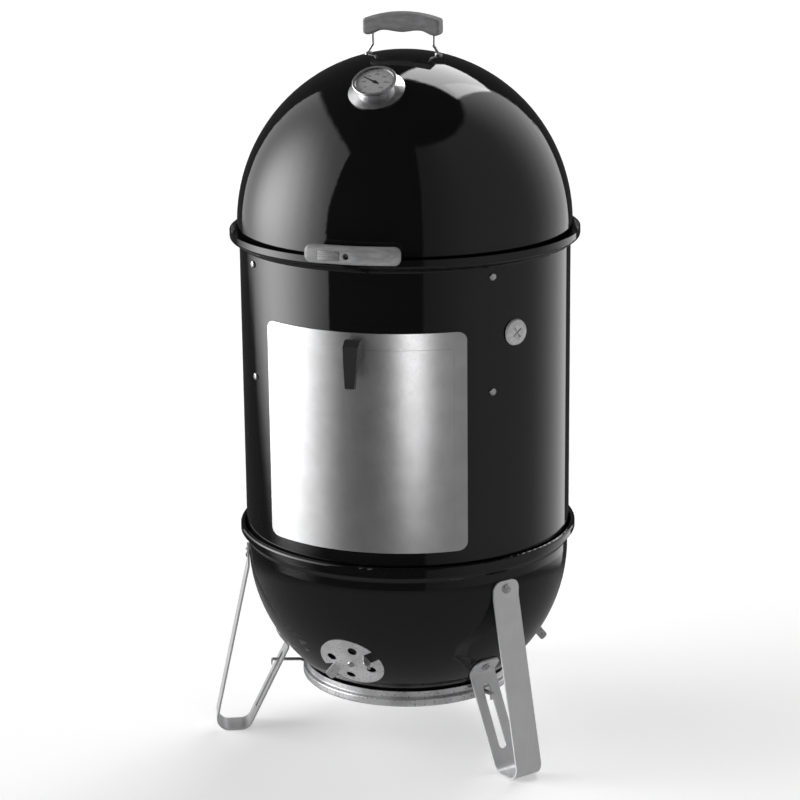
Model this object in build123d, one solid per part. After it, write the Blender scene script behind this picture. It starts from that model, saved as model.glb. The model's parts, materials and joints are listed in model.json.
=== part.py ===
from build123d import *
import math
import os

# Vertical water smoker, millimetres. The origin is on the floor under the upright axis,
# +Z is up and the door faces -Y. A bearing is an angle about the axis from -Y towards +X.

# --- sheet and hardware stock ---
STEEL = 1.5                 # enamelled sheet of the lid, barrel and bowl
ALUMINIUM = 1.2             # heat shield and dampers
STRAP_STEEL = 2.5           # grill straps
LEG_STOCK = 3.0             # legs
GAP = 0.3                   # clearance between separate curved parts
FIT = 0.05                  # radial clearance of a turning fit

# --- barrel ---
BARREL_R = 276.0            # outside radius
BARREL_BOTTOM = 350.0
BARREL_STEP = 858.5         # where the wall steps out to the rim
BARREL_LIP = 879.0          # height of the rim
LIP_R = 292.0               # outside radius of the rim
BARREL_INSIDE = BARREL_R - STEEL

# --- bowl, round below its widest line ---
BOWL_R = 274.0
BOWL_CENTRE = 330.0
BOWL_FLOOR = 112.0
BOWL_SEAT = 344.5           # where the wall steps out to take the barrel
BOWL_LIP = 372.0            # top of the rolled bead
BOWL_LIP_R = 286.5          # outside radius of the bead
BEAD_WIDTH = 8.8

# --- lid, half an ellipse on a short skirt ---
LID_R = 279.3
LID_BOTTOM = 862.0
LID_SHOULDER = 885.0
LID_RISE = 285.0
LID_FITTING_R = 150.0       # distance from the axis of the thermometer and the damper

# --- lid handle ---
HANDLE_TOP = 1232.0
HANDLE_HALF = 65.0
HANDLE_DEPTH = 30.0
STRUT_X = 51.8
STRUT_FOOT_R = 60.0
WIRE_R = 2.2

# --- front handle ---
GRIP_R = 309.0
GRIP_Z = 889.0
GRIP_DEPTH = 26.0
GRIP_HEIGHT = 29.0
GRIP_ARC = 28.8             # degrees
GRIP_BEARING = 1.1

# --- door and its opening ---
DOOR_INSIDE = BARREL_R + 0.4
DOOR_BOTTOM = 395.0
DOOR_TOP = 758.0
DOOR_HALF = 37.0            # degrees each side of the front
CREASE_HALF = 32.4
CREASE_Z = 731.0
FIELD_RISE = 0.8
OPENING_BOTTOM = 406.0
OPENING_TOP = 750.0
OPENING_HALF = 34.5
HINGE_Y = -(DOOR_INSIDE + STEEL)
LATCH_Z = 737.0
SPINDLE_R = 4.0

# --- straps, grates and pan ---
STRAP_BEARINGS = (46.5, 133.5, 226.5, 313.5)
STRAP_BOLTS = (652.8, 840.5)
UPPER_LEDGE = 851.0
LOWER_LEDGE = 636.0
PAN_LEDGE = 611.0
GROMMET_BEARING = 55.8
GROMMET_Z = 745.0

# --- legs and dampers ---
LEG_BEARINGS = {"left": -68.0, "right": 52.0, "rear": 172.0}
LEG_WIDTH = 51.0
LEG_TAB_DROP = 37.0         # degrees below the bowl's widest line
LEG_TOP = 330.0
LEG_HEEL_R = 342.0
LEG_TOE_R = 284.0
DAMPER_BEARINGS = {"front": -8.0, "right": 112.0, "left": 232.0}
DAMPER_DROP = 32.9
DAMPER_R = 56.0
VENT_RING = 35.0
VENT_R = 8.0
VENT_TURN = -17.0
PIVOT_R = 2.5

# Vertical plane through the axis at the front: local x is the radius, local y is the height.
RADIAL = Plane(origin=(0, 0, 0), x_dir=(0, -1, 0), z_dir=(-1, 0, 0))


# ---------------------------------------------------------------- helpers

def spin(section):
    """Turn a section drawn in (radius, height) about the upright axis."""
    return revolve(Plane.XZ * section, Axis.Z)


def sheet_of_revolution(path, thickness):
    """Turned sheet metal, from its middle line."""
    return spin(trace(path, thickness))


def strip(path, thickness, width):
    """Bent flat bar at the front, from its middle line in (radius, height)."""
    return extrude(RADIAL * trace(path, thickness), width / 2, both=True)


def at_bearing(bearing, part):
    """Carry a part from the front round the axis."""
    return Rot(0, 0, bearing) * part


def radial_hole(radius, height, reach=40, around=BARREL_R):
    """Cylinder along the radius, through the wall at the front."""
    return Pos(0, -around, height) * Rot(90, 0, 0) * Cylinder(radius, reach)


def hexagon(across_flats, height):
    """Nut blank standing on the origin."""
    return extrude(RegularPolygon(across_flats / 2, 6, major_radius=False), height)


def button_head(radius, height):
    """Low domed screw or rivet head standing on the origin."""
    return fillet(extrude(Circle(radius), height).edges().group_by(Axis.Z)[-1], height * 0.7)


def joined(parts):
    """Fuse a list of overlapping solids into one."""
    return parts[0] + parts[1:]


def group(parts):
    """Keep a list of separate solids together as one node."""
    return Compound(children=[Part(p.wrapped) if not isinstance(p, Part) else p for p in parts])


def save(name, part):
    part.label = name
    export_step(part, f"parts/{name}.step")


# ---------------------------------------------------------------- places on the curved shells

def lid_height(radius):
    """Height of the lid's outer surface at a distance from the axis."""
    return LID_SHOULDER + LID_RISE * math.sqrt(1 - (radius / LID_R) ** 2)


def lid_tilt(radius):
    """Lean of the lid's surface normal from the vertical, in degrees."""
    rise = (lid_height(radius) - LID_SHOULDER) / LID_RISE**2
    return math.degrees(math.atan2(radius / LID_R**2, rise))


def on_lid(bearing, radius):
    """Frame on the lid's outer surface with +Z along its normal."""
    return Rot(0, 0, bearing) * Pos(0, -radius, lid_height(radius)) * Rot(lid_tilt(radius), 0, 0)


def on_bowl(bearing, drop):
    """Frame on the bowl's outer surface with +Z along its normal and +Y up the wall."""
    turn = Rot(0, 0, bearing) * Rot(90 + drop, 0, 0)
    return Pos(0, 0, BOWL_CENTRE) * turn * Pos(0, 0, BOWL_R)


# ---------------------------------------------------------------- bowl and its fittings

def bowl_shell():
    middle = BOWL_R - STEEL / 2
    floor_z = BOWL_FLOOR + STEEL / 2
    floor_angle = math.degrees(math.asin((floor_z - BOWL_CENTRE) / middle))
    floor_r = middle * math.cos(math.radians(floor_angle))
    floor = Line((0, floor_z), (floor_r, floor_z))
    side = CenterArc((0, BOWL_CENTRE), middle, floor_angle, -floor_angle)
    bead_out = BOWL_LIP_R - STEEL / 2
    bead_in = BOWL_LIP_R - BEAD_WIDTH + STEEL / 2
    bead_top = BOWL_LIP - STEEL / 2
    lip = FilletPolyline(
        (middle, BOWL_CENTRE), (middle, BOWL_SEAT), (bead_in, BOWL_SEAT + 6.5), (bead_in, bead_top),
        (bead_out, bead_top), (bead_out, bead_top - 11), radius=(4, 4, 3.6, 3.6),
    )
    path = Wire([*floor.edges(), *side.edges(), *lip.edges()])
    corner = path.vertices().sort_by_distance((floor_r, floor_z))[0]
    shell = sheet_of_revolution(path.fillet_2d(14, [corner]), STEEL)
    for bearing in DAMPER_BEARINGS.values():
        shell -= on_bowl(bearing, DAMPER_DROP) * vents(20, PIVOT_R)
    for bearing in LEG_BEARINGS.values():
        shell -= at_bearing(bearing, radial_hole(3, 316, 20, BOWL_R))
        shell -= on_bowl(bearing, LEG_TAB_DROP) * Cylinder(3, 20)
    return shell


def vents(depth, pivot_r):
    """Cutter for a damper's four vents and its pivot hole."""
    cutters = [Cylinder(pivot_r, depth)]
    for quarter in range(4):
        cutters.append(Rot(0, 0, VENT_TURN + 90 * quarter) * Pos(VENT_RING, 0, 0) * Cylinder(VENT_R, depth))
    return Part() + cutters


def damper_disc(surface_r):
    """Dished disc that lies on a round shell, with two lifted finger tabs."""
    lift = GAP + ALUMINIUM / 2
    sweep = math.degrees(math.asin(DAMPER_R / surface_r))
    arc = CenterArc((0, -surface_r), surface_r + lift, 90, -sweep)
    disc = sheet_of_revolution(arc, ALUMINIUM)
    disc -= vents(30, PIVOT_R + FIT)
    tab_width = 18
    tab_height = 22
    tab_root = 37
    tab_lean = 30
    for side in (0, 180):
        turn = Rot(0, 0, VENT_TURN + 45 + side)
        notch = Box(DAMPER_R, tab_width + 2, 30, align=(Align.MIN, Align.CENTER, Align.CENTER))
        disc -= turn * Pos(tab_root, 0, 0) * notch
        tab = Box(ALUMINIUM, tab_width, tab_height, align=(Align.CENTER, Align.CENTER, Align.MIN))
        tab = fillet(tab.edges().filter_by(Axis.X).group_by(Axis.Z)[-1], 5)
        drop = surface_r - math.sqrt(surface_r**2 - tab_root**2)
        disc += turn * Pos(tab_root - 1.2, 0, GAP + 0.4 - drop) * Rot(0, tab_lean, 0) * tab
    return disc


def pivot_rivet(sheet_under):
    """Rivet that holds a damper on a shell, with a head on each side."""
    outer_head = GAP + ALUMINIUM + GAP
    length = outer_head + sheet_under + 1
    shank = Cylinder(PIVOT_R, length, align=(Align.CENTER, Align.CENTER, Align.MIN))
    rivet = Pos(0, 0, -sheet_under - 0.5) * shank
    rivet += Pos(0, 0, outer_head) * button_head(6, 2.5)
    return rivet + Pos(0, 0, -sheet_under - 0.1) * Rot(180, 0, 0) * button_head(5, 2)


def leg():
    """Hairpin of flat bar at the front: down the outside, along the foot and back up to the bowl."""
    half = LEG_STOCK / 2
    tab_point = polar(BOWL_R + half + 0.1, LEG_TAB_DROP)
    along = (math.sin(math.radians(LEG_TAB_DROP)), math.cos(math.radians(LEG_TAB_DROP)))
    tab_half = 17
    fold = (tab_point[0] - tab_half * along[0], tab_point[1] - tab_half * along[1])
    tip = (tab_point[0] + tab_half * along[0], tab_point[1] + tab_half * along[1])
    heel = (LEG_HEEL_R, half)
    toe = (LEG_TOE_R, half)
    outer_r = BOWL_R + half + 0.1
    path = FilletPolyline(
        (outer_r, LEG_TOP), (outer_r, 300), heel, toe, fold, tip, radius=(30, 20, 20, 8),
    )
    bar = strip(path, LEG_STOCK, LEG_WIDTH)
    ends = bar.edges().filter_by(lambda e: abs(e.length - LEG_STOCK) < 0.01)
    bar = fillet(ends, 16)
    slope = math.degrees(math.atan2(fold[1] - toe[1], fold[0] - toe[0]))
    slot_centre = (0.46 * toe[0] + 0.54 * fold[0], 0.46 * toe[1] + 0.54 * fold[1])
    slot = Pos(0, -slot_centre[0], slot_centre[1]) * Rot(-slope, 0, 0)
    bar -= slot * Rot(0, 0, 90) * extrude(SlotOverall(112, 14), 10, both=True)
    bar -= radial_hole(3, 316, 20, BOWL_R)
    return bar - on_bowl(0, LEG_TAB_DROP) * Cylinder(3, 20)


def polar(radius, drop):
    """Point in (radius, height) on a sphere about the bowl's centre."""
    angle = math.radians(drop)
    return (radius * math.cos(angle), BOWL_CENTRE - radius * math.sin(angle))


def leg_screw(outward, stack, shank_r=3):
    """Domed screw through the leg and the bowl wall; outward is the face it sits on."""
    shank = Cylinder(shank_r, stack + 8, align=(Align.CENTER, Align.CENTER, Align.MAX))
    return Pos(0, 0, outward) * (shank + button_head(8, 3.2))


def leg_fixings():
    """The six leg screws and their nuts."""
    screws = []
    nuts = []
    outward = LEG_STOCK + 0.1
    stack = outward + STEEL
    upper_drop = math.degrees(math.asin((BOWL_CENTRE - 316) / BOWL_R))
    for bearing in LEG_BEARINGS.values():
        spots = [on_bowl(bearing, LEG_TAB_DROP), at_bearing(bearing, Pos(0, -BOWL_R, 316) * Rot(90, 0, 0))]
        for spot in spots:
            screws.append(spot * leg_screw(outward, stack))
            nut = hexagon(10, 5) - Cylinder(3, 40)
            nuts.append(spot * Pos(0, 0, -STEEL - 5.9) * nut)
    return group(screws), group(nuts)


def heat_shield():
    """Shallow pan under the bowl, carried by three tabs that hook into the legs' slots."""
    rim_r = 178.5
    bead_r = 184.4
    path = FilletPolyline(
        (0, 92.6), (bead_r, 92.6), (bead_r, 105), (rim_r, 107.5), (rim_r, 118), radius=(4, 2, 2),
    )
    shield = sheet_of_revolution(path, ALUMINIUM)
    hook = FilletPolyline((rim_r - 0.5, 112), (190, 117), (240, 119), (240, 110), radius=(5, 3))
    tab = strip(hook, 2.0, 10)
    return joined([shield] + [at_bearing(b, tab) for b in LEG_BEARINGS.values()])


def grate_tabs():
    """Three welded ledges that carry the charcoal grate."""
    tabs = []
    wall = BOWL_R - STEEL - 0.95
    knee = polar(wall - 1.0, 37.0)
    top = polar(wall, 32.0)
    path = FilletPolyline((knee[0] - 17, knee[1]), knee, top, radius=3)
    for bearing in LEG_BEARINGS.values():
        tabs.append(at_bearing(bearing + 30, strip(path, STEEL, 20)))
    return group(tabs)


# ---------------------------------------------------------------- fuel, water and food carriers

def wire_grate(ring_r, ring_z, wire_r, rod_r, pitch, cross_x, handles=()):
    """Round grate: a ring with parallel rods on it, cross bars under them and loop handles."""
    ring = Pos(0, 0, ring_z) * Torus(ring_r, wire_r)
    rod_z = ring_z + wire_r + rod_r - 1.5
    parts = [ring]
    count = int((ring_r - wire_r) / pitch)
    for step in range(-count, count + 1):
        offset = step * pitch
        length = 2 * math.sqrt(ring_r**2 - offset**2)
        parts.append(Pos(0, offset, rod_z) * Rot(0, 90, 0) * Cylinder(rod_r, length))
    for offset in cross_x:
        length = 2 * math.sqrt(ring_r**2 - offset**2)
        parts.append(Pos(offset, 0, ring_z) * Rot(90, 0, 0) * Cylinder(wire_r, length))
    for side in handles:
        parts.append(grate_handle(side, ring_r, rod_z, rod_r))
    return joined(parts)


def grate_handle(side, ring_r, rod_z, rod_r):
    """Wire loop standing on the rods near the ring, to lift the grate by."""
    half = 38
    reach = ring_r - 45
    path = FilletPolyline((-half, 0, 0), (-half, 0, 24), (half, 0, 24), (half, 0, 0), radius=8)
    loop = sweep(Plane(origin=path @ 0, z_dir=path % 0) * Circle(rod_r), path)
    foot = Rot(0, 90, 0) * Cylinder(rod_r, 2 * half + 2 * rod_r)
    return Pos(side * reach, 0, rod_z + rod_r) * Rot(0, 0, 90) * (loop + foot)


def charcoal_ring():
    """Perforated hoop that holds the charcoal on its grate."""
    radius = 199
    bottom = 181
    height = 178
    hoop = Pos(0, 0, bottom + height / 2) * (
        Cylinder(radius, height) - Cylinder(radius - STEEL, height)
    )
    rows = 5
    around = 28
    cutters = []
    for row in range(rows):
        level = bottom + height * (row + 0.75) / (rows + 0.5)
        for step in range(around // 2):
            bearing = 360 / around * (step + 0.5 * (row % 2))
            cutters.append(Pos(0, 0, level) * Rot(90, 0, bearing) * Cylinder(8, 2 * radius + 20))
    return hoop - cutters


def water_pan():
    path = FilletPolyline((0, 497.7), (206, 497.7), (231.5, 613.6), (246, 613.6), radius=(20, 4))
    return sheet_of_revolution(path, STEEL)


# ---------------------------------------------------------------- barrel and its fittings

def curved_window(inner_r, outer_r, half_angle, bottom, top, corner):
    """Piece of a round wall at the front, with rounded corners."""
    half_width = outer_r * math.sin(math.radians(half_angle))
    height = top - bottom
    ring = Cylinder(outer_r, height) - Cylinder(inner_r, height)
    mask = extrude(Plane.XZ * RectangleRounded(2 * half_width, height, corner), outer_r + 10)
    return Pos(0, 0, (top + bottom) / 2) * (ring & mask)


def barrel():
    middle = BARREL_R - STEEL / 2
    rim = LIP_R - STEEL / 2
    path = FilletPolyline(
        (middle, BARREL_BOTTOM), (middle, BARREL_STEP), (rim, BARREL_STEP + 7), (rim, BARREL_LIP),
        radius=(6, 5),
    )
    wall = sheet_of_revolution(path, STEEL)
    wall -= curved_window(
        BARREL_INSIDE - 5, BARREL_R + 5, OPENING_HALF, OPENING_BOTTOM, OPENING_TOP, 12,
    )
    for bearing in STRAP_BEARINGS:
        for height in STRAP_BOLTS:
            wall -= at_bearing(bearing, radial_hole(3, height, 30))
    return wall - at_bearing(GROMMET_BEARING, radial_hole(17, GROMMET_Z, 30))


def grill_straps():
    """Four bent straps whose three ledges carry the upper grate, the lower grate and the pan."""
    wall_side = BARREL_INSIDE - 1.6
    path = FilletPolyline(
        (259.5, UPPER_LEDGE), (wall_side, UPPER_LEDGE), (wall_side, LOWER_LEDGE),
        (250, LOWER_LEDGE), (250, PAN_LEDGE), (238, PAN_LEDGE), radius=3.5,
    )
    strap = strip(path, STRAP_STEEL, 22)
    for height in STRAP_BOLTS:
        strap -= radial_hole(3, height, 30)
    return group([at_bearing(bearing, strap) for bearing in STRAP_BEARINGS])


def strap_fixings():
    """Eight bolts through the barrel wall and the straps, and their nuts."""
    bolts = []
    nuts = []
    head = Pos(0, 0, 0.2) * button_head(6, 3)
    bolt = head + Cylinder(3, 14, align=(Align.CENTER, Align.CENTER, Align.MAX))
    inside = BARREL_R - (BARREL_INSIDE - 1.6 - STRAP_STEEL / 2)
    nut = Pos(0, 0, -inside - 5.1) * (hexagon(10, 5) - Cylinder(3, 40))
    for bearing in STRAP_BEARINGS:
        for height in STRAP_BOLTS:
            spot = Rot(0, 0, bearing) * Pos(0, -BARREL_R, height) * Rot(90, 0, 0)
            bolts.append(spot * (bolt + Cylinder(3, 1)))
            nuts.append(spot * nut)
    return group(bolts), group(nuts)


def probe_grommet():
    """Soft grommet with a flange on each side of the wall and a cross-shaped slit for probes."""
    section = make_face(
        Polyline((0, -7), (20, -7), (20, -2.5), (16.8, -2.5), (16.8, 1.2), (21.5, 1.2), (20, 5),
                 (12, 6.5), (0, 5), (0, -7))
    )
    body = revolve(Plane.XZ * section, Axis.Z)
    for turn in (35, 125):
        body -= Rot(0, 0, turn) * Pos(0, 0, 6) * Box(20, 2.4, 6)
    return Rot(0, 0, GROMMET_BEARING) * Pos(0, -BARREL_R, GROMMET_Z) * Rot(90, 0, 0) * body


def front_grip():
    """Moulded grip that follows the barrel's rim."""
    section = Plane.XZ * Pos(GRIP_R, GRIP_Z) * RectangleRounded(GRIP_DEPTH, GRIP_HEIGHT, 11.5)
    grip = revolve(section, Axis.Z, GRIP_ARC)
    grip = Rot(0, 0, GRIP_BEARING - 90 - GRIP_ARC / 2) * grip
    ends = grip.faces().filter_by(GeomType.PLANE)
    grip = fillet(ends.edges(), 10.5)
    grip -= radial_hole(2.6, GRIP_Z, 60, GRIP_R)
    face = GRIP_R + GRIP_DEPTH / 2
    grip -= Pos(0, -face, GRIP_Z) * Rot(90, 0, 0) * Cylinder(5, 20)
    recess = badge_blank(face - 1.2, face + 5, 38.5, 15.5)
    return grip - recess


def badge_blank(inner_r, outer_r, width, height):
    """Curved plate on the left of the front grip."""
    half_angle = math.degrees(width / 2 / outer_r)
    plate = curved_window(inner_r, outer_r, half_angle, GRIP_Z - height / 2, GRIP_Z + height / 2, 2)
    return at_bearing(-5.2, plate)


def front_bracket():
    """Plate welded to the outside of the barrel's rim, standing up behind the grip."""
    thickness = 3.0
    face = LIP_R + 0.3
    plate = Pos(0, -face, 0) * extrude(
        Plane.XZ * Pos(0, (BARREL_LIP + GRIP_Z) / 2 - 2) * RectangleRounded(30, 32, 6), thickness,
    )
    return plate - radial_hole(2.6, GRIP_Z, 60, GRIP_R)


def front_screw():
    """Screw sunk in the grip, with its nut behind the bracket."""
    head_r = GRIP_R + GRIP_DEPTH / 2 - 10
    shank = Cylinder(2.6, head_r - 290, align=(Align.CENTER, Align.CENTER, Align.MAX))
    return Pos(0, -head_r, GRIP_Z) * Rot(90, 0, 0) * (shank + button_head(4.5, 3))


# ---------------------------------------------------------------- door and latch

def door_panel():
    """Curved panel with a raised field inside its creases."""
    outside = DOOR_INSIDE + STEEL
    panel = curved_window(DOOR_INSIDE, outside, DOOR_HALF, DOOR_BOTTOM, DOOR_TOP, 14)
    raised = outside + FIELD_RISE
    panel += curved_window(outside - 0.5, raised, CREASE_HALF, DOOR_BOTTOM + 8, CREASE_Z, 4)
    for side in (-1, 1):
        groove = Pos(0, 0, (CREASE_Z + 752) / 2) * Rot(0, 0, side * CREASE_HALF)
        panel -= groove * Pos(0, -outside, 0) * Box(1.6, 1.0, 752 - CREASE_Z)
    return panel - radial_hole(SPINDLE_R + FIT, LATCH_Z, 30)


def door_tongues():
    """Two welded tabs that reach through the opening and hook behind its lower edge."""
    tongues = []
    hook_r = 16.0
    flange_y = 5.4
    start = math.degrees(math.acos(flange_y / hook_r))
    arc = CenterArc((0, 0), hook_r, start, -start - 10)
    flange = Line((flange_y, 42), arc @ 0)
    section = trace(Wire([*flange.edges(), *arc.edges()]), STEEL)
    section += Pos(flange_y - 1.6, 30) * Rectangle(STEEL + 3.0, 24)
    inside = Pos(0, 0, DOOR_BOTTOM + 20) * Cylinder(DOOR_INSIDE, 120)
    for offset in (-30, 30):
        plane = Plane(origin=(offset, HINGE_Y, DOOR_BOTTOM), x_dir=(0, 1, 0), z_dir=(1, 0, 0))
        tongues.append(extrude(plane * section, 8, both=True) & inside)
    return group(tongues)


def latch_grip():
    """Tapered lever that hangs from its hub and stands off the door."""
    face = DOOR_INSIDE + STEEL + FIELD_RISE + 0.4
    side = FilletPolyline(
        (face, LATCH_Z - 12), (face, LATCH_Z + 11), (face + 14, LATCH_Z + 13),
        (face + 27, LATCH_Z + 4), (face + 34, LATCH_Z - 62), (face + 24, LATCH_Z - 63),
        (face + 15, LATCH_Z - 16), (face, LATCH_Z - 12), radius=3,
    )
    lever = extrude(RADIAL * make_face(side), 20, both=True)
    outline = Polyline(
        (-13, LATCH_Z + 14), (13, LATCH_Z + 14), (11, LATCH_Z - 20), (7.5, LATCH_Z - 64),
        (-7.5, LATCH_Z - 64), (-11, LATCH_Z - 20), (-13, LATCH_Z + 14),
    )
    taper = extrude(Plane.XZ * make_face(outline), 400)
    lever = lever & taper
    socket = Pos(0, -face - 6, LATCH_Z) * Rot(90, 0, 0) * Cylinder(SPINDLE_R, 12)
    return lever - socket


def latch_spindle():
    face = DOOR_INSIDE + STEEL + FIELD_RISE + 0.4
    tail = 262
    length = face + 12 - tail
    return Pos(0, -tail - length / 2, LATCH_Z) * Rot(90, 0, 0) * Cylinder(SPINDLE_R, length)


def latch_tongue():
    """Bar behind the door that turns up behind the opening's upper edge."""
    bar = Pos(9, -270.5, LATCH_Z) * Box(32, 2.5, 14)
    bar = fillet(bar.edges().filter_by(Axis.Y), 5)
    return bar - radial_hole(SPINDLE_R, LATCH_Z, 40)


def latch_nut():
    nut = hexagon(13, 5) - Cylinder(SPINDLE_R, 20)
    return Pos(0, -269.1, LATCH_Z) * Rot(-90, 0, 0) * nut


# ---------------------------------------------------------------- lid and its fittings

def lid_shell():
    """Half ellipse on a short skirt, with the holes for its fittings."""
    middle = LID_R - STEEL / 2
    rise = LID_RISE - STEEL / 2
    skirt = Line((middle, LID_BOTTOM), (middle, LID_SHOULDER))
    dome = EllipticalCenterArc((0, LID_SHOULDER), middle, rise, start_angle=0, arc_size=90)
    shell = sheet_of_revolution(Wire([*skirt.edges(), *dome.edges()]), STEEL)
    shell -= on_lid(180, LID_FITTING_R) * vents(30, PIVOT_R)
    shell -= on_lid(0, LID_FITTING_R) * Cylinder(5, 30)
    for side in (-90, 90):
        shell -= on_lid(side, STRUT_FOOT_R) * Cylinder(2.5, 20)
    return shell


def lid_grip():
    """Arched nylon grip with thick ends where the wires enter."""
    end_top = HANDLE_TOP - 11
    end_bottom = HANDLE_TOP - 37
    top = ThreePointArc((-HANDLE_HALF, end_top), (0, HANDLE_TOP), (HANDLE_HALF, end_top))
    right = Line((HANDLE_HALF, end_top), (HANDLE_HALF, end_bottom + 2))
    under = Spline(
        (HANDLE_HALF, end_bottom + 2), (55, end_bottom), (38, end_bottom + 6.5), (0, end_bottom + 5),
        (-38, end_bottom + 6.5), (-55, end_bottom), (-HANDLE_HALF, end_bottom + 2),
    )
    left = Line((-HANDLE_HALF, end_bottom + 2), (-HANDLE_HALF, end_top))
    face = make_face([*top.edges(), *right.edges(), *under.edges(), *left.edges()])
    grip = extrude(Plane.XZ * face, HANDLE_DEPTH / 2, both=True)
    grip = fillet(grip.edges().filter_by(Axis.Y), 6)
    long_edges = grip.edges().group_by(Axis.Y)
    grip = fillet(long_edges[0] + long_edges[-1], 5)
    return grip - lid_struts_solids()


def lid_struts_solids():
    """The two bent wires of the lid handle, each with a round foot on the lid."""
    struts = []
    foot_z = lid_height(STRUT_FOOT_R)
    for side in (-1, 1):
        path = FilletPolyline(
            (side * STRUT_X, 0, HANDLE_TOP - 22), (side * STRUT_X, 0, foot_z + 15),
            (side * STRUT_FOOT_R, 0, foot_z + 2.8), radius=7,
        )
        wire = sweep(Plane(origin=path @ 0, z_dir=path % 0) * Circle(WIRE_R), path)
        foot = on_lid(side * 90, STRUT_FOOT_R) * Pos(0, 0, 1.2) * Cylinder(6.5, 2.0)
        struts.append(wire + foot)
    return struts


def lid_handle_screws():
    """Screws from inside the lid up into the struts' feet."""
    screws = []
    for side in (-90, 90):
        head = Pos(0, 0, -STEEL - 0.4) * Rot(180, 0, 0) * button_head(6, 3)
        shank = Pos(0, 0, -0.95) * Cylinder(2.5, 2.3)
        screws.append(on_lid(side, STRUT_FOOT_R) * (head + shank))
    return group(screws)


THERMOMETER = on_lid(0, LID_FITTING_R)
CASE_FLOOR = 9.5            # underside of the gauge above the lid's surface
CASE_TOP = 19.0
CASE_R = 36.0
DIAL_LEVEL = 14.6
DIAL_STOCK = 0.6
NEEDLE_TURN = 151.0         # direction in which the needle points at rest


def thermometer_bezel():
    """Bright dished plate between the gauge and the lid."""
    path = FilletPolyline((10, 6.3), (21, 6.3), (45.6, -2.6), radius=12)
    return THERMOMETER * sheet_of_revolution(path, STEEL)


def thermometer_case():
    """Shallow cup with sloping sides and a rolled rim around the dial."""
    section = make_face(Polyline(
        (5, CASE_FLOOR), (24, CASE_FLOOR), (CASE_R, CASE_TOP - 2.5), (CASE_R, CASE_TOP - 1),
        (CASE_R - 1, CASE_TOP), (CASE_R - 4.5, CASE_TOP), (CASE_R - 4.5, CASE_TOP - 1.4),
        (CASE_R - 2, CASE_TOP - 1.4), (CASE_R - 2, CASE_TOP - 2.4), (24, CASE_FLOOR + 1.5),
        (5, CASE_FLOOR + 1.5), (5, CASE_FLOOR),
    ))
    return THERMOMETER * spin(section)


def thermometer_collar():
    """Dark collar that clamps the gauge on the bezel."""
    collar = Cylinder(18, 2.2) - Cylinder(5, 10)
    return THERMOMETER * Pos(0, 0, CASE_FLOOR - 1.2) * collar


def thermometer_stem():
    """Probe tube through the lid, with the needle's pin on top."""
    tube = Cylinder(5, 22, align=(Align.CENTER, Align.CENTER, Align.MIN))
    probe = Cylinder(3, 60, align=(Align.CENTER, Align.CENTER, Align.MAX))
    pin = Cylinder(0.8, 5.3, align=(Align.CENTER, Align.CENTER, Align.MIN))
    stem = Pos(0, 0, -10) * tube + Pos(0, 0, -9) * probe + Pos(0, 0, 11) * pin
    return THERMOMETER * stem


def thermometer_dial():
    plate = Cylinder(CASE_R - 5.8, DIAL_STOCK) - Cylinder(1.2, 5)
    return THERMOMETER * Pos(0, 0, DIAL_LEVEL + DIAL_STOCK / 2) * plate


def thermometer_pointer():
    """Needle with a hub and a short tail, turning on the stem's pin."""
    level = DIAL_LEVEL + DIAL_STOCK + 0.2
    blade = make_face(Polyline(
        (-8, -1.6), (0, -1.6), (24, -0.4), (24, 0.4), (0, 1.6), (-8, 1.6), (-8, -1.6),
    ))
    needle = extrude(blade, 0.5) + Cylinder(3.2, 0.9, align=(Align.CENTER, Align.CENTER, Align.MIN))
    needle -= Cylinder(0.8 + FIT, 10)
    return THERMOMETER * Pos(0, 0, level) * Rot(0, 0, NEEDLE_TURN) * needle


def thermometer_lens():
    return THERMOMETER * Pos(0, 0, CASE_TOP - 1.9) * Cylinder(CASE_R - 2.2, 0.9)


def thermometer_nut():
    nut = hexagon(17, 5) - Cylinder(5, 20)
    return THERMOMETER * Pos(0, 0, -STEEL - 5.6) * nut


# ---------------------------------------------------------------- writing the nodes

def build_bowl():
    save("bowl_shell", bowl_shell())
    for side, bearing in LEG_BEARINGS.items():
        save(f"leg_{side}", at_bearing(bearing, leg()))
    screws, nuts = leg_fixings()
    save("leg_screws", screws)
    save("leg_nuts", nuts)
    save("heat_shield", heat_shield())
    save("charcoal_grate_tabs", grate_tabs())
    rivet = pivot_rivet(STEEL)
    rivets = [on_bowl(bearing, DAMPER_DROP) * rivet for bearing in DAMPER_BEARINGS.values()]
    save("bowl_damper_rivets", group(rivets))
    for side, bearing in DAMPER_BEARINGS.items():
        save(f"bowl_damper_{side}", on_bowl(bearing, DAMPER_DROP) * damper_disc(BOWL_R))


def build_carriers():
    save("charcoal_grate", wire_grate(204, 171.6, 3.5, 3.5, 19, (-95, 95)))
    save("charcoal_ring", charcoal_ring())
    save("water_pan", water_pan())
    save("lower_cooking_grate", wire_grate(253, 640.6, 3.0, 2.5, 14.5, (-100, 100), (-1, 1)))
    save("upper_cooking_grate", wire_grate(264, 855.6, 3.0, 2.5, 14.5, (-105, 105), (-1, 1)))


def build_barrel():
    save("barrel", barrel())
    save("grill_straps", grill_straps())
    bolts, nuts = strap_fixings()
    save("strap_bolts", bolts)
    save("strap_nuts", nuts)
    save("probe_grommet", probe_grommet())
    save("front_handle_grip", front_grip())
    face = GRIP_R + GRIP_DEPTH / 2
    save("front_handle_plate", badge_blank(face - 1.1, face + 0.2, 37, 14))
    save("front_handle_bracket", front_bracket())
    save("front_handle_screw", front_screw())


def build_door():
    save("door_panel", door_panel())
    save("door_tongues", door_tongues())
    save("latch_grip", latch_grip())
    save("latch_spindle", latch_spindle())
    save("latch_tongue", latch_tongue())
    save("latch_nut", latch_nut())


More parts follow.
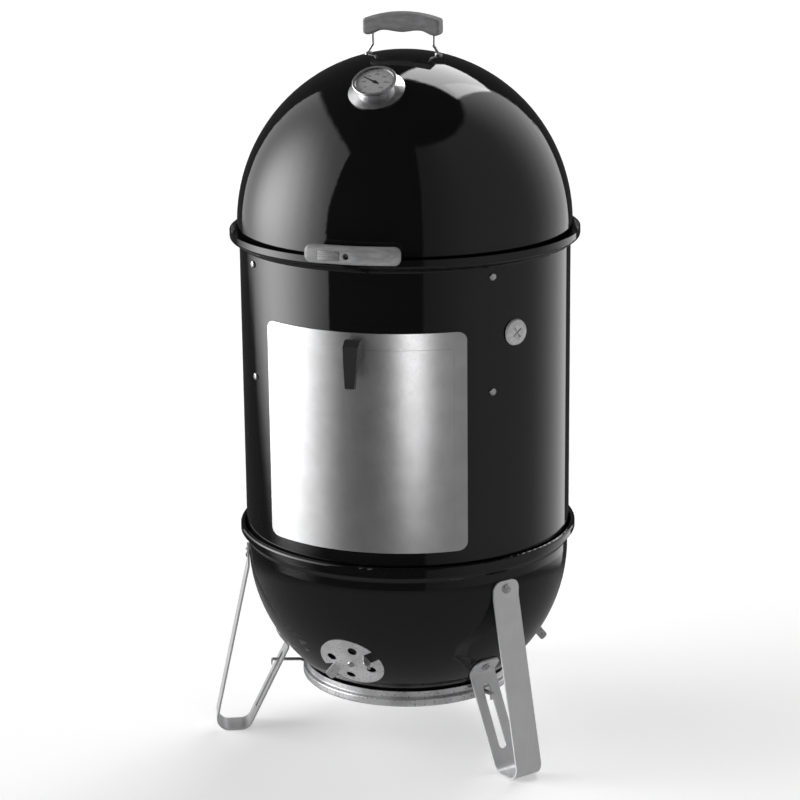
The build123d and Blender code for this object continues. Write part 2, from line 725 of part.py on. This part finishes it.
def build_lid():
    save("lid_shell", lid_shell())
    save("lid_handle_grip", lid_grip())
    save("lid_handle_struts", group(lid_struts_solids()))
    save("lid_handle_screws", lid_handle_screws())
    save("lid_damper", on_lid(180, LID_FITTING_R) * damper_disc(274))
    save("lid_damper_rivet", on_lid(180, LID_FITTING_R) * pivot_rivet(STEEL))
    save("thermometer_bezel", thermometer_bezel())
    save("thermometer_case", thermometer_case())
    save("thermometer_collar", thermometer_collar())
    save("thermometer_stem", thermometer_stem())
    save("thermometer_dial", thermometer_dial())
    save("thermometer_pointer", thermometer_pointer())
    save("thermometer_lens", thermometer_lens())
    save("thermometer_nut", thermometer_nut())


os.makedirs("parts", exist_ok=True)
build_bowl()
build_carriers()
build_barrel()
build_door()
build_lid()
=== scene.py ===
import json
import math

import bmesh
import bpy
from mathutils import Matrix, Vector


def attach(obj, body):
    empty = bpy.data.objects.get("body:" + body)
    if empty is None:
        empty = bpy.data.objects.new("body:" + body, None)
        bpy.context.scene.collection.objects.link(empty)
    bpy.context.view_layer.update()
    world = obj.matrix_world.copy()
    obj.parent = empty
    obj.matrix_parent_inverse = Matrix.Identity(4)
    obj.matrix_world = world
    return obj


# Looks for the vertical water smoker. Metres, in the CAD frame: +Z up, the door faces -Y.
# A bearing is an angle about the upright axis, from -Y towards +X.

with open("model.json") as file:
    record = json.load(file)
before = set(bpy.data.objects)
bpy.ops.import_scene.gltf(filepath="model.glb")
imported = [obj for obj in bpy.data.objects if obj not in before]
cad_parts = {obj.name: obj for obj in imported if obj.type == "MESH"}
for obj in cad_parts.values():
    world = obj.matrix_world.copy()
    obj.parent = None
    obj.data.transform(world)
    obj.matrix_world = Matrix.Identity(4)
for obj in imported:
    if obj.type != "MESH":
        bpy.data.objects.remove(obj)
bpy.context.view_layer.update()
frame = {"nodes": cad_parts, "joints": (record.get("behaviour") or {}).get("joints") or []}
NODES = frame["nodes"]

CAMERA_BEARING = 16.7       # degrees
CAMERA_DISTANCE = 4.04      # from the axis, along the floor
CAMERA_HEIGHT = 1.66
CAMERA_PITCH = 15.01        # degrees below the horizon
CAMERA_YAW = 0.16           # degrees to the left of the axis
CAMERA_ROLL = 0.62
CAMERA_LENS = 110.8         # millimetres
CAMERA_SENSOR = 36.0        # millimetres

# Light panels. Bearings are in degrees from the camera's, towards the right. Sides and heights of
# the flat panels are in units of the distance to the panel.
LEFT_BEARING = -87
LEFT_SIDES = (-1.75, 0.65)
LEFT_HEIGHTS = (-0.31, 1.32)
LEFT_SPOT_SIDE = (-0.18, 0.48)      # middle and width of its bright spot
LEFT_SPOT_HEIGHT = (0.12, 0.56)
LEFT_GLOW = 8.0
LEFT_EDGE = 1.2
RIGHT_BEARINGS = (12, 148)
RIGHT_HEIGHTS = (-20, 58)   # degrees
OVERHEAD_BEARING = 158
OVERHEAD_AWAY = (0.5, 1.55)
OVERHEAD_SIDES = (-0.32, 0.25)
OVERHEAD_STRENGTH = 6.3
BELOW_STRENGTH = 0.25
DARK_STRENGTH = 0.06        # of every other direction

# Strip light in front of the door, metres.
STRIP_BEARING = 4
STRIP_REACH = 1.5           # from the axis
STRIP_HEIGHT = 0.56
STRIP_SIZE = (0.36, 0.7)
STRIP_TILT = 92             # degrees; 90 is upright
STRIP_WATTS = 2.4

FLOOR_HALF = 60.0
FLOOR_GLOW = 0.32


# ---------------------------------------------------------------- node helpers

class Shader:
    """A material with a Principled shader, and short calls for what feeds it."""

    def __init__(self, name, color, roughness, metallic=0.0):
        self.material = bpy.data.materials.new(name)
        self.material.use_nodes = True
        self.tree = self.material.node_tree
        self.bsdf = self.tree.nodes["Principled BSDF"]
        self.bsdf.inputs["Base Color"].default_value = (*color, 1)
        self.bsdf.inputs["Roughness"].default_value = roughness
        self.bsdf.inputs["Metallic"].default_value = metallic
        self.coords = self.add("ShaderNodeTexCoord").outputs["Object"]

    def add(self, kind):
        return self.tree.nodes.new(kind)

    def link(self, source, target):
        self.tree.links.new(source, target)

    def mapped(self, scale=(1, 1, 1), turn=0.0):
        """Coordinates stretched along the axes, after a turn about +Z in degrees."""
        node = self.add("ShaderNodeMapping")
        node.inputs["Rotation"].default_value = (0, 0, math.radians(turn))
        node.inputs["Scale"].default_value = scale
        self.link(self.coords, node.inputs["Vector"])
        return node.outputs["Vector"]

    def noise(self, scale, detail=3.0, rough=0.5, vector=None):
        node = self.add("ShaderNodeTexNoise")
        node.inputs["Scale"].default_value = scale
        node.inputs["Detail"].default_value = detail
        node.inputs["Roughness"].default_value = rough
        self.link(vector or self.coords, node.inputs["Vector"])
        return node.outputs["Fac"]

    def cells(self, scale):
        """Distance to the nearest of many scattered points."""
        node = self.add("ShaderNodeTexVoronoi")
        node.inputs["Scale"].default_value = scale
        self.link(self.coords, node.inputs["Vector"])
        return node.outputs["Distance"]

    def spread(self, value, low, high, start=0.3, end=0.7):
        """Carry a value from start..end to low..high."""
        node = self.add("ShaderNodeMapRange")
        node.interpolation_type = "SMOOTHSTEP"
        for key, number in (("From Min", start), ("From Max", end), ("To Min", low), ("To Max", high)):
            node.inputs[key].default_value = number
        self.link(value, node.inputs["Value"])
        return node.outputs["Result"]

    def maths(self, operation, a, b):
        node = self.add("ShaderNodeMath")
        node.operation = operation
        for socket, value in zip(node.inputs, (a, b)):
            if isinstance(value, (int, float)):
                socket.default_value = value
            else:
                self.link(value, socket)
        return node.outputs["Value"]

    def tint(self, value, dark, light):
        """Blend two colours by a value."""
        node = self.add("ShaderNodeMix")
        node.data_type = "RGBA"
        node.inputs["A"].default_value = (*dark, 1)
        node.inputs["B"].default_value = (*light, 1)
        self.link(value, node.inputs["Factor"])
        return node.outputs["Result"]

    def color(self, value, dark, light):
        self.link(self.tint(value, dark, light), self.bsdf.inputs["Base Color"])

    def roughness(self, value, low, high):
        self.link(self.spread(value, low, high), self.bsdf.inputs["Roughness"])

    def bumps(self, *layers):
        """Stack bump layers, each (height, strength, distance in metres)."""
        normal = None
        for height, strength, distance in layers:
            node = self.add("ShaderNodeBump")
            node.inputs["Strength"].default_value = strength
            node.inputs["Distance"].default_value = distance
            self.link(height, node.inputs["Height"])
            if normal:
                self.link(normal, node.inputs["Normal"])
            normal = node.outputs["Normal"]
        self.link(normal, self.bsdf.inputs["Normal"])


# ---------------------------------------------------------------- materials

def enamel():
    """Black porcelain enamel: deep gloss, faint orange peel and a few pin-point specks."""
    s = Shader("enamel", (0.004, 0.004, 0.0042), 0.04)
    smears = s.noise(9, 4)
    specks = s.spread(s.cells(420), 1.0, 0.0, 0.02, 0.10)
    s.color(specks, (0.0035, 0.0035, 0.0038), (0.02, 0.02, 0.021))
    s.roughness(smears, 0.025, 0.06)
    s.bumps((s.noise(260, 2), 0.06, 0.0004), (s.noise(38, 2), 0.05, 0.0012))
    return s.material


def leg_aluminium(turn):
    """Satin flat bar, drawn lengthwise; turn is the leg's bearing."""
    s = Shader(f"leg_aluminium_{turn:.0f}", (0.72, 0.72, 0.73), 0.4, 0.5)
    across = s.mapped((900, 6, 6), -turn)
    streaks = s.noise(1, 5, 0.6, across)
    clouds = s.noise(22, 4)
    s.color(s.maths("MULTIPLY", streaks, clouds), (0.60, 0.60, 0.61), (0.86, 0.86, 0.87))
    s.roughness(streaks, 0.34, 0.5)
    s.bumps((streaks, 0.25, 0.0002), (s.noise(60, 3), 0.15, 0.0006))
    return s.material


def sheet_aluminium(name, color, grain=700):
    """Plain satin sheet with fine random rubbing marks."""
    s = Shader(name, color, 0.34, 0.6)
    clouds = s.noise(30, 4)
    dark = [0.82 * c for c in color]
    light = [min(1, 1.15 * c) for c in color]
    s.color(s.spread(clouds, 0, 1), dark, light)
    s.roughness(s.noise(grain / 3, 4), 0.26, 0.42)
    s.bumps((s.noise(grain, 3), 0.18, 0.0003), (s.noise(26, 2), 0.2, 0.001))
    return s.material


def door_aluminium():
    """Satin sheet with a fine rolled grain and faint waves."""
    s = Shader("door_aluminium", (0.56, 0.56, 0.57), 0.34, 1.0)
    grain = s.noise(520, 4, 0.6)
    waves = s.noise(26, 4, 0.55)
    s.color(s.spread(waves, 0, 1), (0.54, 0.54, 0.545), (0.6, 0.6, 0.61))
    s.roughness(grain, 0.28, 0.38)
    s.bumps((grain, 0.3, 0.0003), (waves, 0.05, 0.0006))
    return s.material


def zinc_steel():
    s = Shader("zinc_steel", (0.6, 0.6, 0.61), 0.28, 1.0)
    s.color(s.spread(s.noise(240, 4), 0, 1), (0.46, 0.46, 0.47), (0.72, 0.72, 0.73))
    s.roughness(s.noise(500, 3), 0.18, 0.36)
    s.bumps((s.noise(900, 3), 0.2, 0.0002))
    return s.material


def plated_wire():
    s = Shader("plated_wire", (0.74, 0.74, 0.75), 0.16, 1.0)
    s.color(s.spread(s.noise(130, 3), 0, 1), (0.6, 0.59, 0.57), (0.8, 0.8, 0.81))
    s.roughness(s.noise(300, 3), 0.10, 0.26)
    s.bumps((s.noise(600, 2), 0.12, 0.0002))
    return s.material


def raw_steel():
    """Mill steel with blue-grey scale."""
    s = Shader("raw_steel", (0.3, 0.3, 0.31), 0.5, 1.0)
    scale = s.noise(45, 6, 0.65)
    s.color(s.spread(scale, 0, 1, 0.35, 0.65), (0.17, 0.17, 0.19), (0.38, 0.37, 0.36))
    s.roughness(s.noise(160, 4), 0.36, 0.6)
    s.bumps((s.noise(700, 4), 0.3, 0.0003), (scale, 0.2, 0.0004))
    return s.material


def grey_nylon(name, color):
    """Glass-filled nylon: spark-eroded grain with faint flow marks."""
    s = Shader(name, color, 0.5)
    flow = s.noise(40, 5, 0.6, s.mapped((1, 3, 3)))
    dark = [0.8 * c for c in color]
    light = [1.2 * c for c in color]
    s.color(s.spread(flow, 0, 1), dark, light)
    s.roughness(s.noise(900, 2), 0.42, 0.6)
    s.bumps((s.noise(1500, 3), 0.35, 0.0002), (flow, 0.1, 0.0006))
    return s.material


def brushed_plate():
    s = Shader("badge", (0.74, 0.74, 0.75), 0.3, 1.0)
    streaks = s.noise(1, 4, 0.6, s.mapped((40, 40, 2600)))
    s.color(s.spread(streaks, 0, 1), (0.62, 0.62, 0.63), (0.84, 0.84, 0.85))
    s.roughness(streaks, 0.22, 0.4)
    s.bumps((streaks, 0.2, 0.0001))
    return s.material


def chrome():
    s = Shader("chrome", (0.86, 0.86, 0.87), 0.2, 1.0)
    s.color(s.spread(s.noise(90, 3), 0, 1), (0.78, 0.78, 0.79), (0.88, 0.88, 0.89))
    s.roughness(s.noise(60, 4), 0.16, 0.26)
    s.bumps((s.noise(45, 2), 0.06, 0.001))
    return s.material


def gauge_steel():
    s = Shader("gauge_steel", (0.6, 0.6, 0.61), 0.3, 1.0)
    s.color(s.spread(s.noise(400, 4), 0, 1), (0.52, 0.52, 0.53), (0.68, 0.68, 0.69))
    s.roughness(s.noise(900, 3), 0.24, 0.4)
    s.bumps((s.noise(1400, 2), 0.15, 0.0001))
    return s.material


def painted(name, color, roughness):
    s = Shader(name, color, roughness)
    dark = [0.9 * c for c in color]
    light = [min(1, 1.06 * c) for c in color]
    s.color(s.spread(s.noise(300, 4), 0, 1), dark, light)
    s.roughness(s.noise(700, 2), roughness - 0.06, roughness + 0.06)
    s.bumps((s.noise(2200, 2), 0.1, 0.0001))
    return s.material


def glass():
    """Clear flat glass, thin enough not to bend the view."""
    s = Shader("glass", (0.03, 0.03, 0.03), 0.02)
    s.bsdf.inputs["Alpha"].default_value = 0.16
    s.bsdf.inputs["Specular IOR Level"].default_value = 1.0
    s.roughness(s.noise(120, 3), 0.0, 0.04)
    s.bumps((s.noise(30, 2), 0.03, 0.001))
    return s.material


def silicone():
    s = Shader("silicone", (0.5, 0.5, 0.5), 0.45)
    s.color(s.spread(s.noise(180, 4), 0, 1), (0.42, 0.42, 0.42), (0.56, 0.56, 0.56))
    s.roughness(s.noise(700, 2), 0.36, 0.55)
    s.bumps((s.noise(1200, 2), 0.15, 0.0002))
    return s.material


# ---------------------------------------------------------------- surroundings

class Surroundings:
    """The world's light, built from soft panels given by direction."""

    def __init__(self):
        world = bpy.data.worlds.new("studio")
        bpy.context.scene.world = world
        world.use_nodes = True
        self.tree = world.node_tree
        self.tree.nodes.clear()
        direction = self.tree.nodes.new("ShaderNodeTexCoord").outputs["Generated"]
        split = self.tree.nodes.new("ShaderNodeSeparateXYZ")
        self.tree.links.new(direction, split.inputs[0])
        self.x, self.y, self.z = split.outputs
        turn = math.radians(CAMERA_BEARING)
        forward = self.maths("MULTIPLY", self.y, -1)
        self.bearing = self.maths("SUBTRACT", self.maths("ARCTAN2", self.x, forward), turn)
        self.height = self.maths("ARCSINE", self.z)

    def maths(self, operation, a, b=None):
        node = self.tree.nodes.new("ShaderNodeMath")
        node.operation = operation
        for socket, value in zip(node.inputs, (a, b)):
            if isinstance(value, (int, float)):
                socket.default_value = value
            elif value is not None:
                self.tree.links.new(value, socket)
        return node.outputs["Value"]

    def step(self, value, start, end, low=0.0, high=1.0):
        node = self.tree.nodes.new("ShaderNodeMapRange")
        node.interpolation_type = "SMOOTHSTEP"
        for key, number in (("From Min", start), ("From Max", end), ("To Min", low), ("To Max", high)):
            node.inputs[key].default_value = number
        self.tree.links.new(value, node.inputs["Value"])
        return node.outputs["Result"]

    def band(self, value, low, high, soft):
        """1 between low and high, with soft edges."""
        rise = self.step(value, low - soft, low + soft)
        fall = self.step(value, high - soft, high + soft, 1.0, 0.0)
        return self.maths("MULTIPLY", rise, fall)

    def along(self, bearing):
        """Share of the direction that points along a level bearing, relative to the camera's."""
        angle = math.radians(CAMERA_BEARING + bearing)
        east = self.maths("MULTIPLY", self.x, math.sin(angle))
        north = self.maths("MULTIPLY", self.y, -math.cos(angle))
        return self.maths("ADD", east, north)

    def glow(self, value, middle, width):
        """Square of the distance from the middle of a glow, in widths."""
        away = self.maths("DIVIDE", self.maths("SUBTRACT", value, middle), width)
        return self.maths("MULTIPLY", away, away)

    def left_panel(self):
        """Large upright panel on the left, with one bright spot."""
        ahead = self.maths("MAXIMUM", self.along(LEFT_BEARING), 0.001)
        side = self.maths("DIVIDE", self.along(LEFT_BEARING + 90), ahead)
        up = self.maths("DIVIDE", self.z, ahead)
        shape = self.maths(
            "MULTIPLY", self.band(side, *LEFT_SIDES, 0.02), self.band(up, *LEFT_HEIGHTS, 0.07),
        )
        power = self.maths("ADD", self.glow(side, *LEFT_SPOT_SIDE), self.glow(up, *LEFT_SPOT_HEIGHT))
        hot = self.maths("EXPONENT", self.maths("MULTIPLY", power, -1))
        strength = self.maths("ADD", self.maths("MULTIPLY", hot, LEFT_GLOW), LEFT_EDGE)
        return self.maths("MULTIPLY", shape, strength)

    def right_panel(self):
        """Dim curved wall on the right, brighter towards the back."""
        bearings = [math.radians(bearing) for bearing in RIGHT_BEARINGS]
        heights = [math.radians(height) for height in RIGHT_HEIGHTS]
        shape = self.maths(
            "MULTIPLY", self.band(self.bearing, *bearings, 0.02), self.band(self.height, *heights, 0.03),
        )
        front = self.step(self.bearing, math.radians(10), math.radians(55), 0.2, 0.4)
        back = self.step(self.bearing, math.radians(90), math.radians(150), 0.0, 1.35)
        return self.maths("MULTIPLY", shape, self.maths("ADD", front, back))

    def overhead_panel(self):
        """Level panel above and behind."""
        above = self.maths("MAXIMUM", self.z, 0.001)
        away = self.maths("DIVIDE", self.along(OVERHEAD_BEARING), above)
        side = self.maths("DIVIDE", self.along(OVERHEAD_BEARING + 90), above)
        shape = self.maths(
            "MULTIPLY", self.band(away, *OVERHEAD_AWAY, 0.03), self.band(side, *OVERHEAD_SIDES, 0.02),
        )
        over = self.step(self.z, 0.0, 0.05)
        return self.maths("MULTIPLY", self.maths("MULTIPLY", shape, over), OVERHEAD_STRENGTH)

    def floor_glow(self):
        """Dim light from below, as off a grey floor."""
        return self.step(self.height, math.radians(-24), math.radians(-19), BELOW_STRENGTH, 0.0)

    def finish(self):
        """Add up the panels. The camera itself sees plain white."""
        total = self.maths("ADD", self.left_panel(), self.right_panel())
        total = self.maths("ADD", total, self.overhead_panel())
        total = self.maths("ADD", total, self.floor_glow())
        total = self.maths("ADD", total, DARK_STRENGTH)
        light = self.tree.nodes.new("ShaderNodeBackground")
        self.tree.links.new(total, light.inputs["Strength"])
        backdrop = self.tree.nodes.new("ShaderNodeBackground")
        backdrop.inputs["Strength"].default_value = 1.0
        backdrop.inputs["Color"].default_value = (1, 1, 1, 1)
        rays = self.tree.nodes.new("ShaderNodeLightPath").outputs["Is Camera Ray"]
        mix = self.tree.nodes.new("ShaderNodeMixShader")
        self.tree.links.new(rays, mix.inputs[0])
        self.tree.links.new(light.outputs[0], mix.inputs[1])
        self.tree.links.new(backdrop.outputs[0], mix.inputs[2])
        output = self.tree.nodes.new("ShaderNodeOutputWorld")
        self.tree.links.new(mix.outputs[0], output.inputs["Surface"])


def make_floor():
    """Pale floor that the enamel doesn't mirror."""
    mesh = bpy.data.meshes.new("floor")
    half = FLOOR_HALF
    corners = [(-half, -half, 0), (half, -half, 0), (half, half, 0), (-half, half, 0)]
    mesh.from_pydata(corners, [], [(0, 1, 2, 3)])
    floor = bpy.data.objects.new("floor", mesh)
    bpy.context.scene.collection.objects.link(floor)
    s = Shader("floor", (0.9, 0.9, 0.9), 0.9)
    s.bsdf.inputs["Specular IOR Level"].default_value = 0.0
    s.bsdf.inputs["Emission Color"].default_value = (1, 1, 1, 1)
    s.bsdf.inputs["Emission Strength"].default_value = FLOOR_GLOW
    s.color(s.noise(2, 2), (0.89, 0.89, 0.89), (0.91, 0.91, 0.91))
    mesh.materials.append(s.material)
    floor.visible_glossy = False


def make_door_light():
    """Low upright strip light in front that only the door sees."""
    data = bpy.data.lights.new("door_light", "AREA")
    data.shape = "RECTANGLE"
    data.size, data.size_y = STRIP_SIZE
    data.energy = STRIP_WATTS
    strip = bpy.data.objects.new("door_light", data)
    bpy.context.scene.collection.objects.link(strip)
    bearing = math.radians(CAMERA_BEARING + STRIP_BEARING)
    strip.location = (STRIP_REACH * math.sin(bearing), -STRIP_REACH * math.cos(bearing), STRIP_HEIGHT)
    strip.rotation_euler = (math.radians(STRIP_TILT), 0, bearing)
    strip.visible_camera = False
    receivers = bpy.data.collections.new("lit_by_door_light")
    receivers.objects.link(NODES["door_panel"])
    strip.light_linking.receiver_collection = receivers


def make_camera():
    """Camera at the height, distance and lean that the smoker is shown from."""
    data = bpy.data.cameras.new("camera")
    data.lens = CAMERA_LENS
    data.sensor_width = CAMERA_SENSOR
    camera = bpy.data.objects.new("camera", data)
    bpy.context.scene.collection.objects.link(camera)
    around = Matrix.Rotation(math.radians(CAMERA_BEARING), 4, "Z")
    spot = around @ Vector((0, -CAMERA_DISTANCE, CAMERA_HEIGHT))
    yaw = Matrix.Rotation(math.radians(CAMERA_YAW), 4, "Z")
    pitch = Matrix.Rotation(math.radians(90 - CAMERA_PITCH), 4, "X")
    roll = Matrix.Rotation(math.radians(-CAMERA_ROLL), 4, "Z")
    camera.matrix_world = Matrix.Translation(spot) @ around @ yaw @ pitch @ roll
    bpy.context.scene.camera = camera


# ---------------------------------------------------------------- dressing the CAD nodes

def dress(material, *names):
    """Give CAD nodes a material."""
    for name in names:
        for slot in NODES[name].material_slots:
            slot.material = material


# ---------------------------------------------------------------- markings on the thermometer

DIAL_TOP = 0.0152           # printed face above the lid's surface
SCALE_START = 225.0         # degrees from +X of the first mark
SCALE_SWEEP = 270.0
SCALE_LOW = 50
SCALE_HIGH = 350
SCALE_STEP = 50
SMALL_STEPS = 5
INK = 0.00006
TICK_END = 0.0285           # distance from the pin
LONG_TICK = (0.0235, 0.0007)    # start and width
SHORT_TICK = (0.0255, 0.0004)
NUMERAL_R = 0.0185          # distance from the pin to the middle of a number
NUMERAL_SIZE = 0.0056


def dial_frame():
    """Frame on the printed face, +Z out of the dial and +Y to its top."""
    joint = next(j for j in frame["joints"] if j["name"] == "thermometer_needle_turn")
    normal = Vector(joint["axis"]).normalized()
    right = Vector((1, 0, 0))
    top = normal.cross(right)
    turn = Matrix((right, top, normal)).transposed().to_4x4()
    return Matrix.Translation(Vector(joint["pos_m"]) + DIAL_TOP * normal) @ turn


def add_tick(shape, angle, inner, outer, width):
    """One thin raised stroke along the radius."""
    turn = Matrix.Rotation(math.radians(angle), 4, "Z")
    middle = Matrix.Translation(((inner + outer) / 2, 0, INK / 2))
    size = Matrix.Diagonal((outer - inner, width, INK, 1))
    bmesh.ops.create_cube(shape, size=1.0, matrix=turn @ middle @ size)


def add_numeral(shape, word, spot, size):
    """A printed number, upright on the dial."""
    letters = bpy.data.curves.new("numeral", "FONT")
    letters.body = word
    letters.size = size
    letters.extrude = INK / 2
    letters.align_x = "CENTER"
    letters.align_y = "CENTER"
    holder = bpy.data.objects.new("numeral", letters)
    mesh = bpy.data.meshes.new_from_object(holder)
    mesh.transform(Matrix.Translation(spot))
    shape.from_mesh(mesh)
    bpy.data.objects.remove(holder)
    bpy.data.meshes.remove(mesh)


def make_dial_marks():
    """Scale strokes and numbers printed on the dial."""
    shape = bmesh.new()
    labels = (SCALE_HIGH - SCALE_LOW) // SCALE_STEP
    for step in range(labels * SMALL_STEPS + 1):
        angle = SCALE_START - SCALE_SWEEP * step / (labels * SMALL_STEPS)
        start, width = LONG_TICK if step % SMALL_STEPS == 0 else SHORT_TICK
        add_tick(shape, angle, start, TICK_END, width)
    for label in range(labels + 1):
        angle = math.radians(SCALE_START - SCALE_SWEEP * label / labels)
        spot = Vector((NUMERAL_R * math.cos(angle), NUMERAL_R * math.sin(angle), INK / 2))
        add_numeral(shape, str(SCALE_LOW + SCALE_STEP * label), spot, NUMERAL_SIZE)
    mesh = bpy.data.meshes.new("dial_marks")
    shape.to_mesh(mesh)
    shape.free()
    marks = bpy.data.objects.new("dial_marks", mesh)
    bpy.context.scene.collection.objects.link(marks)
    mesh.materials.append(painted("dial_ink", (0.03, 0.03, 0.032), 0.45))
    marks.matrix_world = dial_frame()
    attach(marks, "lid")


# ---------------------------------------------------------------- putting it together

def dress_all():
    dress(enamel(), "bowl_shell", "barrel", "lid_shell", "water_pan", "front_handle_bracket")
    for side, bearing in (("left", -68), ("right", 52), ("rear", 172)):
        dress(leg_aluminium(bearing), f"leg_{side}")
    dress(sheet_aluminium("shield_aluminium", (0.68, 0.68, 0.69)), "heat_shield")
    dress(
        sheet_aluminium("damper_aluminium", (0.7, 0.7, 0.71), 900),
        "bowl_damper_front", "bowl_damper_right", "bowl_damper_left", "lid_damper",
    )
    dress(door_aluminium(), "door_panel", "door_tongues")
    dress(
        zinc_steel(),
        "leg_screws", "leg_nuts", "bowl_damper_rivets", "charcoal_grate_tabs", "grill_straps",
        "strap_bolts", "strap_nuts", "front_handle_screw",
        "latch_spindle", "latch_tongue", "latch_nut", "lid_handle_struts", "lid_handle_screws",
        "lid_damper_rivet", "thermometer_nut", "thermometer_stem",
    )
    dress(plated_wire(), "lower_cooking_grate", "upper_cooking_grate")
    dress(raw_steel(), "charcoal_grate", "charcoal_ring")
    dress(grey_nylon("grip_nylon", (0.26, 0.26, 0.265)), "front_handle_grip")
    dress(grey_nylon("lid_grip_nylon", (0.2, 0.2, 0.205)), "lid_handle_grip")
    dress(brushed_plate(), "front_handle_plate")
    dress(grey_nylon("black_nylon", (0.012, 0.012, 0.013)), "latch_grip", "thermometer_collar")
    dress(chrome(), "thermometer_bezel")
    dress(gauge_steel(), "thermometer_case")
    dress(painted("dial_face", (0.74, 0.74, 0.75), 0.4), "thermometer_dial")
    dress(painted("needle", (0.02, 0.02, 0.02), 0.35), "thermometer_pointer")
    dress(glass(), "thermometer_lens")
    dress(silicone(), "probe_grommet")


dress_all()
make_dial_marks()
Surroundings().finish()
make_floor()
make_door_light()
make_camera()
bpy.context.scene.view_settings.view_transform = "Standard"
